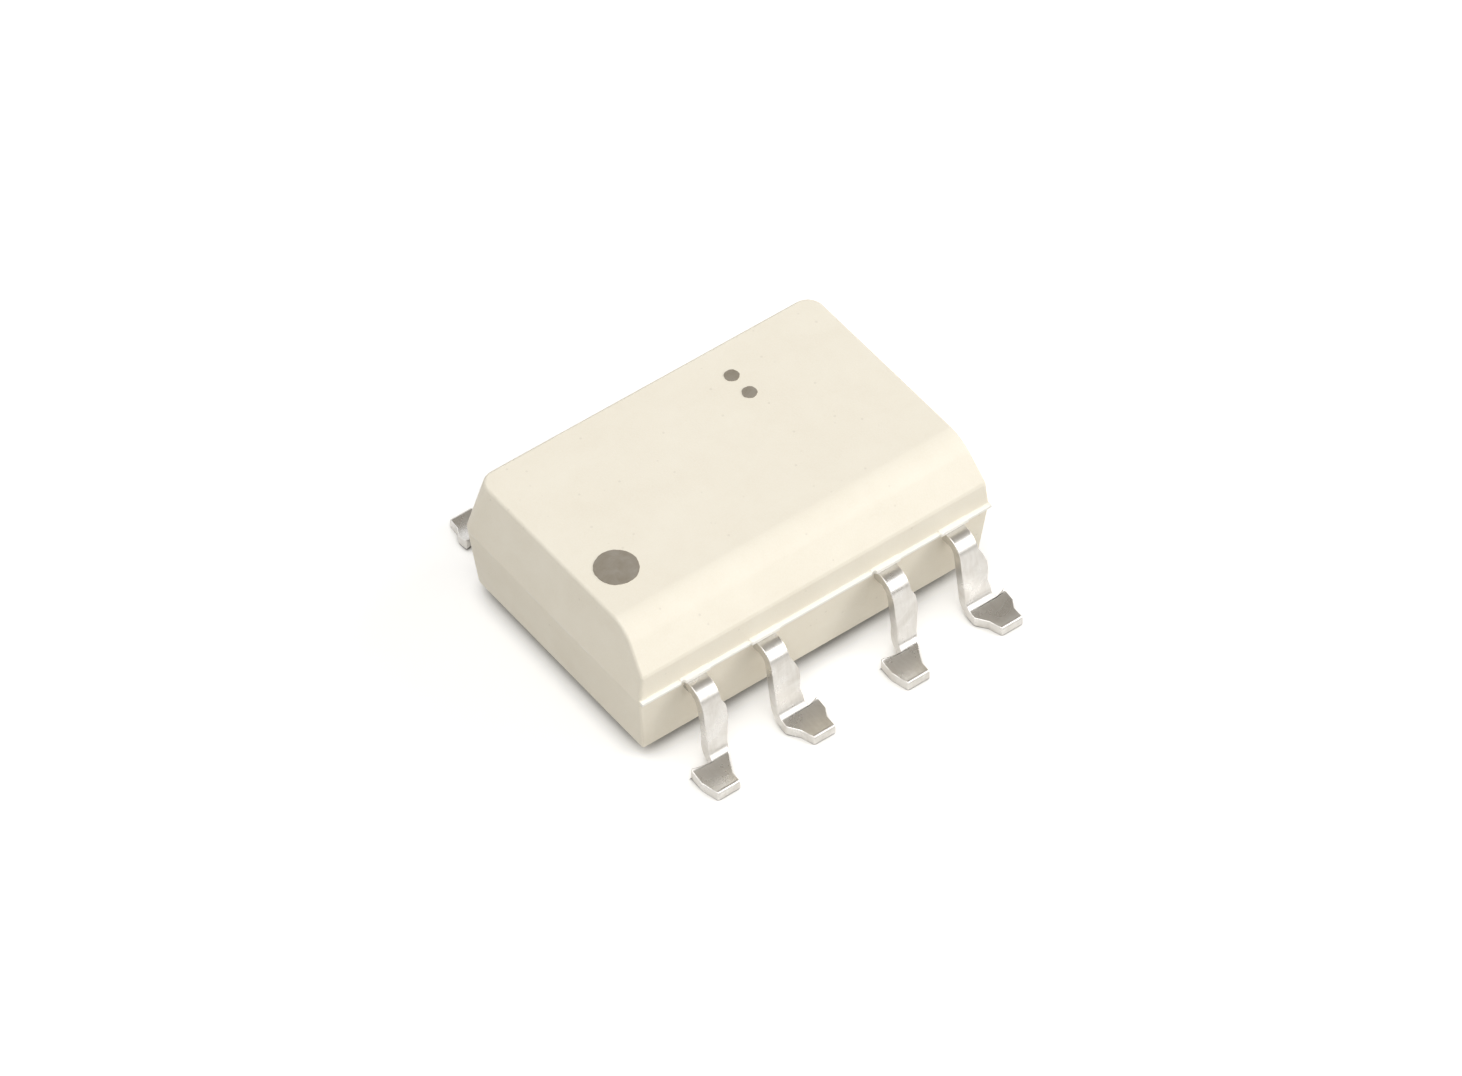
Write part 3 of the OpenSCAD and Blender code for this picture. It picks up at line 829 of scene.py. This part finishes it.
def lead_profile(bend_radius):
    """A lead seen from its side, as Y outwards and Z: shoulder, bend, leaning leg, heel and hollow foot."""
    level, half_turn, down = (math.radians(turn) for turn in (90, 180, 270))
    foot_start = down - HEEL_RISE
    bend = (SHOULDER_Y, PARTING_Z - bend_radius)
    between_centres = FOOT_HOLLOW - HEEL_RADIUS
    heel_z = SHEET + FOOT_HOLLOW - between_centres * math.cos(HEEL_RISE)
    sideways = bend_radius + HEEL_RADIUS + (bend[1] - heel_z) * math.sin(LEG_LEAN)
    heel = (SHOULDER_Y + sideways / math.cos(LEG_LEAN), heel_z)
    foot = (heel[0] + between_centres * math.sin(HEEL_RISE), SHEET + FOOT_HOLLOW)
    edge_reach = FOOT_HOLLOW + TOE_EDGE_RADIUS
    toe_start = down + math.asin((TOE_Y - TOE_EDGE_RADIUS - foot[0]) / edge_reach)
    toe_end = down + math.asin((TOE_Y - foot[0]) / (FOOT_HOLLOW + SHEET))
    toe_edge = (foot[0] + edge_reach * math.cos(toe_start), foot[1] + edge_reach * math.sin(toe_start))
    outline = [(ROOT_Y, PARTING_Z - SHEET), (ROOT_Y, PARTING_Z)]
    outline += arc_points(bend, bend_radius, level, LEG_LEAN)
    outline += arc_points(heel, HEEL_RADIUS, half_turn + LEG_LEAN, foot_start)[:-1]
    outline += arc_points(foot, FOOT_HOLLOW, foot_start, toe_start, FOOT_STEP)
    outline += arc_points(toe_edge, TOE_EDGE_RADIUS, toe_start - half_turn, toe_start - down)[1:]
    outline += arc_points(foot, FOOT_HOLLOW + SHEET, toe_end, foot_start, FOOT_STEP)
    outline += arc_points(heel, HEEL_RADIUS + SHEET, foot_start, half_turn + LEG_LEAN)[1:]
    outline += arc_points(bend, bend_radius - SHEET, LEG_LEAN, level)
    return outline


def outer_lead(bend_radius, towards_partner, partner_edge, far_edge, foot_partner, foot_far):
    """The part of a lead outside the moulding: what its side, front and plan outlines have in common."""
    profile = [(-STOCK_WIDTH / 2, -y, z) for y, z in lead_profile(bend_radius)]
    lead = outline_block("lead_shape", profile, (STOCK_WIDTH, 0, 0))
    above, below, inside = PARTING_Z + SPARE, -SPARE, ROOT_Y - SPARE
    partner = [(partner_edge[0][0], above), *partner_edge, (partner_edge[-1][0], below)]
    far = [(far_edge[0][0], above), *far_edge, (far_edge[-1][0], below)]
    seen = [(towards_partner * x, -inside, z) for x, z in partner + far[::-1]]
    join_solid(lead, outline_block("front", seen, (0, -ROOT_Y - SPARE, 0)), "INTERSECT")
    partner = [(foot_partner[0][0], inside), *foot_partner]
    far = [(foot_far[0][0], inside), *foot_far]
    plan = [(towards_partner * x, -(TOE_Y if y is None else y), below) for x, y in partner + far[::-1]]
    join_solid(lead, outline_block("plan", plan, (0, 0, above - below)), "INTERSECT")
    return lead


class PHOTOCOUPLER_OT_leads(Operator):
    """Makes the eight stamped and tinned leads"""
    bl_idname = "photocoupler.leads"
    bl_label = "Tinned leads"

    def execute(self, context):
        settings = context.scene.photocoupler_leads
        tin = tin_plate_material(settings)
        bend = settings.bend_round / MM
        odd = outer_lead(bend, 1, ODD_PARTNER_EDGE, ODD_FAR_EDGE, ODD_FOOT_PARTNER, ODD_FOOT_FAR)
        even = outer_lead(bend, -1, EVEN_PARTNER_EDGE, EVEN_FAR_EDGE, EVEN_FOOT_PARTNER, EVEN_FOOT_FAR)

        def is_outside(edge):
            return is_ridge(edge) and all_corners(edge, lambda co: abs(co.y) > EDGE_START_Y)

        for number in range(1, 2 * ROW_PINS + 1):
            in_front = number <= ROW_PINS
            column = number if in_front else 2 * ROW_PINS + 1 - number
            side, turn = (-1, 0) if in_front else (1, math.radians(180))
            shape = odd if number % 2 else even
            outer = new_object("outer", shape.data.copy())
            place = Matrix.Translation((pin_x(column), 0, 0))
            outer.data.transform(place @ Matrix.Rotation(turn, 4, "Z"))
            make_active(outer)
            start_editing()
            cut_off((0, side * INNER_END_Y, 0), (0, -side, 0), fill=False)
            lead = bench_copy(f"lead_{number}", f"tinned_lead_{number}")
            cut_off((0, side * INNER_END_Y, 0), (0, side, 0), fill=False)
            stop_editing()
            outer.select_set(True)
            bpy.ops.object.join()
            start_editing()
            merge_flat_faces(SEAM_GAP)
            round_edges(lead, is_outside, settings.edge_round / MM, EDGE_STEPS)
            close_gaps()
            finish_piece(lead, "tin_plate", tin, f"lead_{number}")
        for shape in (odd, even):
            bpy.data.meshes.remove(shape.data)
        return {"FINISHED"}


# The printed dots

def printed_dot(name, centre, radius, bottom, thickness, waver, seed):
    """A disc of ink with a softly rounded rim that strays a little from a true circle."""
    deselect_all()
    bpy.ops.mesh.primitive_cylinder_add(
        vertices=ROUND_STEPS, radius=radius, depth=thickness, end_fill_type="NGON",
        location=(centre[0], centre[1], bottom + thickness / 2))
    dot = name_newest(name)
    bpy.ops.object.transform_apply()
    top = bottom + thickness
    start_editing()
    pick_edges(dot, lambda edge: all_corners(edge, lambda co: co.z > top - thickness / 3))
    bpy.ops.mesh.bevel(offset_type="OFFSET", offset=thickness * RIM_ROUND, segments=EDGE_STEPS, profile=0.5,
                       affect="EDGES", clamp_overlap=False)
    select_whole()
    stop_editing()
    middle = Vector((centre[0], centre[1], 0))
    waves_height = sum(height for count, height in WAVES)
    for vertex in dot.data.vertices:
        flat = Vector((vertex.co.x, vertex.co.y, 0)) - middle
        turn = math.atan2(flat.y, flat.x)
        stray = sum(height * math.sin(count * turn + number * seed)
                    for number, (count, height) in enumerate(WAVES, start=1)) / waves_height
        vertex.co += flat.normalized() * stray * waver * flat.length / radius
    return dot


class PHOTOCOUPLER_OT_printed_marks(Operator):
    """Prints the dot that marks pin 1, and two small plain dots"""
    bl_idname = "photocoupler.printed_marks"
    bl_label = "Printed dots"

    def execute(self, context):
        settings = context.scene.photocoupler_marks
        ink = marking_ink_material(settings)
        low, high = (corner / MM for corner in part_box("pin_1_dot"))
        middle, radius = (low + high) / 2, (high.x - low.x) / 2
        waver = settings.edge_waver / MM
        dot = printed_dot("printed_pin_1_dot", middle, radius - waver, low.z, high.z - low.z, waver, 1.0)
        finish_piece(dot, "marking_ink", ink, "pin_1_dot")
        for number, centre in enumerate(SMALL_DOTS, start=1):
            small = printed_dot(f"printed_small_dot_{number}", centre, settings.small_dot_radius / MM,
                                low.z, high.z - low.z, waver, 2.0 + number)
            finish_piece(small, "marking_ink", ink)
        return {"FINISHED"}


# What lies inside the moulding

class PHOTOCOUPLER_OT_chips(Operator):
    """Makes the two chips and the glue films under them, which lie inside the moulding"""
    bl_idname = "photocoupler.chips"
    bl_label = "Chips and glue"

    def execute(self, context):
        emitter = chip_material("emitter_chip", EMITTER_TONES, 0.2)
        silicon = chip_material("silicon", SILICON_TONES, 0.5)
        glue = die_glue_material()
        for node, name, slot, material, rounding in (
                ("led_chip", "emitter_die", "emitter_chip", emitter, CHIP_ROUND),
                ("detector_chip", "detector_die", "silicon", silicon, CHIP_ROUND),
                ("led_die_attach", "emitter_glue", "die_glue", glue, GLUE_ROUND),
                ("detector_die_attach", "detector_glue", "die_glue", glue, GLUE_ROUND)):
            piece = bench_copy(node, name)
            round_edges(piece, is_ridge, rounding, FINE_STEPS)
            finish_piece(piece, slot, material, node)
        return {"FINISHED"}


class PHOTOCOUPLER_OT_bond_wires(Operator):
    """Makes the five gold bond wires inside the moulding"""
    bl_idname = "photocoupler.bond_wires"
    bl_label = "Bond wires"

    def execute(self, context):
        gold = gold_wire_material()
        for node in ("led_wire", "ground_wire", "output_wire_6", "output_wire_7", "supply_wire"):
            finish_piece(bench_copy(node, f"gold_{node}"), "gold_wire", gold, node)
        return {"FINISHED"}


class PHOTOCOUPLER_OT_light_dome(Operator):
    """Makes the clear silicone drop that carries the light from chip to chip"""
    bl_idname = "photocoupler.light_dome"
    bl_label = "Silicone drop"

    def execute(self, context):
        dome = bench_copy("light_dome", "clear_drop")
        finish_piece(dome, "clear_silicone", clear_silicone_material(), "light_dome")
        return {"FINISHED"}


# The studio

def add_softbox(name, towards, distance, size, power):
    """A rectangular softbox that stands off in a direction and faces the object."""
    data = bpy.data.lights.new(name, "AREA")
    data.shape = "RECTANGLE"
    data.size, data.size_y = size
    data.energy = power
    lamp = new_object(name, data)
    away = Vector(towards).normalized()
    lamp.location = TARGET + away * distance
    lamp.rotation_euler = away.to_track_quat("Z", "Y").to_euler()
    lamp.visible_camera = False


def stage_material(name):
    """An empty material for the stage, with its output node."""
    material = bpy.data.materials.new(name)
    material.use_nodes = True
    material.node_tree.nodes.clear()
    return material, material.node_tree, add_node(material.node_tree, "ShaderNodeOutputMaterial", (600, 0))


def dark_card_material():
    material, tree, output = stage_material("dark_card")
    felt = add_node(tree, "ShaderNodeEmission", (0, 0), Color=(*CARD_TONE, 1))
    feed(tree, felt.outputs["Emission"], output.inputs["Surface"])
    return material


def add_card(name, centre, facing, size, material):
    """A dark card that faces the object, and that only reflections show."""
    deselect_all()
    bpy.ops.mesh.primitive_plane_add(size=1, location=centre,
                                     rotation=Vector(facing).to_track_quat("Z", "Y").to_euler())
    card = name_newest(name)
    card.scale = (*size, 1)
    bpy.ops.object.transform_apply()
    card.data.materials.append(material)
    card.visible_camera = False
    card.visible_diffuse = False
    card.visible_shadow = False
    card.visible_transmission = False


def in_mirror(tree, path, place):
    """1 for rays that a mirror or clear glass sends on."""
    glossy, through = path.outputs["Is Glossy Ray"], path.outputs["Is Transmission Ray"]
    return combine(tree, "MAXIMUM", glossy, through, place)


def paper_floor_material(settings):
    """Pale paper that is lifted towards white in sight, and keeps the object's shadow.

    Both the paper's colour and the lift fall off where the object shelters the floor, which strengthens the
    thin dark line of shadow under the object.
    """
    material, tree, output = stage_material("paper_floor")
    paper = add_node(tree, "ShaderNodeBsdfDiffuse", (0, 100))
    place = add_node(tree, "ShaderNodeTexCoord", (-700, 100))
    fibres = add_texture(tree, "ShaderNodeTexNoise", place.outputs["Object"], FIBRE_SCALE, (-500, 100),
                         Detail=2.0)
    colour = tuple(settings.floor_colour)
    fibre = tuple(c * 0.995 for c in colour)
    tone = blend_colours(tree, fibres.outputs["Fac"], fibre, colour, (-250, 100))
    shelter = add_node(tree, "ShaderNodeAmbientOcclusion", (-500, -600), samples=16,
                       Distance=SHELTER_REACH * MM)
    beneath = tuple(c * SHELTER_TONE for c in colour)
    under = spread(tree, shelter.outputs["AO"], (-250, 300), *FULL_COLOUR)
    feed(tree, blend_colours(tree, under, beneath, tone, (-120, 200)), paper.inputs["Color"])
    glow = add_node(tree, "ShaderNodeEmission", (0, -100))
    path = add_node(tree, "ShaderNodeLightPath", (-500, -300))
    mirrored = in_mirror(tree, path, (-350, -200))
    mirror_lift = combine(tree, "MULTIPLY", mirrored, settings.mirrored_lift, (-250, -200))
    view_lift = combine(tree, "MULTIPLY", path.outputs["Is Camera Ray"], settings.floor_lift, (-250, -350))
    full_lift = combine(tree, "MAXIMUM", mirror_lift, view_lift, (-100, -250))
    openness = spread(tree, shelter.outputs["AO"], (-250, -600), *FULL_LIFT)
    feed(tree, combine(tree, "MULTIPLY", full_lift, openness, (-50, -300)), glow.inputs["Strength"])
    both = add_node(tree, "ShaderNodeAddShader", (300, 0))
    feed(tree, paper.outputs["BSDF"], both.inputs[0])
    feed(tree, glow.outputs["Emission"], both.inputs[1])
    feed(tree, both.outputs["Shader"], output.inputs["Surface"])
    return material


def light_room(scene, level):
    """Even light from the room, which is white in sight, in mirrors and through glass."""
    world = bpy.data.worlds.new("studio_room")
    scene.world = world
    world.use_nodes = True
    room = world.node_tree
    room.nodes.clear()
    output = add_node(room, "ShaderNodeOutputWorld", (400, 0))
    sky = add_node(room, "ShaderNodeBackground", (100, 0), Color=(1, 1, 1, 1))
    path = add_node(room, "ShaderNodeLightPath", (-500, 0))
    mirrored = in_mirror(room, path, (-300, 0))
    in_sight = combine(room, "MAXIMUM", path.outputs["Is Camera Ray"], mirrored, (-200, 0))
    feed(room, spread(room, in_sight, (-50, 0), 0, 1, level, 1), sky.inputs["Strength"])
    feed(room, sky.outputs["Background"], output.inputs["Surface"])


def place_camera(scene):
    data = bpy.data.cameras.new("photo_camera")
    data.sensor_width = 36.0
    data.lens = CAMERA_LENS
    data.shift_x = (PHOTO_CENTRE[0] - TARGET_PIXEL[0]) / PHOTO_WIDTH
    data.shift_y = (TARGET_PIXEL[1] - PHOTO_CENTRE[1]) / PHOTO_WIDTH
    data.clip_start = 0.01
    data.clip_end = 10.0
    camera = new_object("photo_camera", data)
    level = math.cos(CAMERA_ELEVATION)
    back = Vector((math.sin(CAMERA_AZIMUTH) * level, -math.cos(CAMERA_AZIMUTH) * level,
                   math.sin(CAMERA_ELEVATION)))
    camera.location = TARGET + back * CAMERA_DISTANCE
    camera.rotation_euler = back.to_track_quat("Z", "Y").to_euler()
    scene.camera = camera


class PHOTOCOUPLER_OT_studio(Operator):
    """Lays the paper floor, sets the lamps and the camera"""
    bl_idname = "photocoupler.studio"
    bl_label = "Studio"

    def execute(self, context):
        settings = context.scene.photocoupler_studio
        deselect_all()
        bpy.ops.mesh.primitive_plane_add(size=FLOOR_SIZE, location=(0, 0, 0))
        floor = name_newest("paper_floor")
        floor.data.materials.append(paper_floor_material(settings))
        for name, towards, distance, size, power in SOFTBOXES:
            add_softbox(name, towards, distance, size, getattr(settings, power))
        felt = dark_card_material()
        for card in CARDS:
            add_card(*card, felt)
        light_room(context.scene, settings.sky_level)
        place_camera(context.scene)
        context.scene.view_settings.view_transform = "Standard"
        return {"FINISHED"}


# The panel, and the steps in order

class PHOTOCOUPLER_PT_maker(Panel):
    """Lists the steps that make the part"""
    bl_label = "Photocoupler"
    bl_idname = "PHOTOCOUPLER_PT_maker"
    bl_space_type = "VIEW_3D"
    bl_region_type = "UI"
    bl_category = "Photocoupler"

    def draw(self, context):
        scene = context.scene
        for title, settings, steps in (
                ("Body", scene.photocoupler_moulding, ("photocoupler.package_body",)),
                ("Leads", scene.photocoupler_leads, ("photocoupler.leads",)),
                ("Marks", scene.photocoupler_marks, ("photocoupler.printed_marks",)),
                ("Inside", None,
                 ("photocoupler.chips", "photocoupler.bond_wires", "photocoupler.light_dome")),
                ("Studio", scene.photocoupler_studio, ("photocoupler.studio",))):
            box = self.layout.box()
            box.label(text=title)
            if settings is not None:
                for name in settings.__annotations__:
                    box.prop(settings, name)
            for step in steps:
                box.operator(step)


SETTINGS = {
    "photocoupler_moulding": MouldingSettings,
    "photocoupler_leads": LeadSettings,
    "photocoupler_marks": MarkSettings,
    "photocoupler_studio": StudioSettings,
}
CLASSES = (
    MouldingSettings, LeadSettings, MarkSettings, StudioSettings,
    PHOTOCOUPLER_OT_package_body, PHOTOCOUPLER_OT_leads, PHOTOCOUPLER_OT_printed_marks,
    PHOTOCOUPLER_OT_chips, PHOTOCOUPLER_OT_bond_wires, PHOTOCOUPLER_OT_light_dome,
    PHOTOCOUPLER_OT_studio, PHOTOCOUPLER_PT_maker,
)


def register():
    for cls in CLASSES:
        bpy.utils.register_class(cls)
    for name, group in SETTINGS.items():
        setattr(bpy.types.Scene, name, PointerProperty(type=group))


def unregister():
    for name in SETTINGS:
        delattr(bpy.types.Scene, name)
    for cls in reversed(CLASSES):
        bpy.utils.unregister_class(cls)


def main():
    register()
    bpy.ops.photocoupler.package_body()
    bpy.ops.photocoupler.leads()
    bpy.ops.photocoupler.printed_marks()
    bpy.ops.photocoupler.chips()
    bpy.ops.photocoupler.bond_wires()
    bpy.ops.photocoupler.light_dome()
    bpy.ops.photocoupler.studio()
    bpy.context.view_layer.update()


if __name__ == "__main__":
    main()
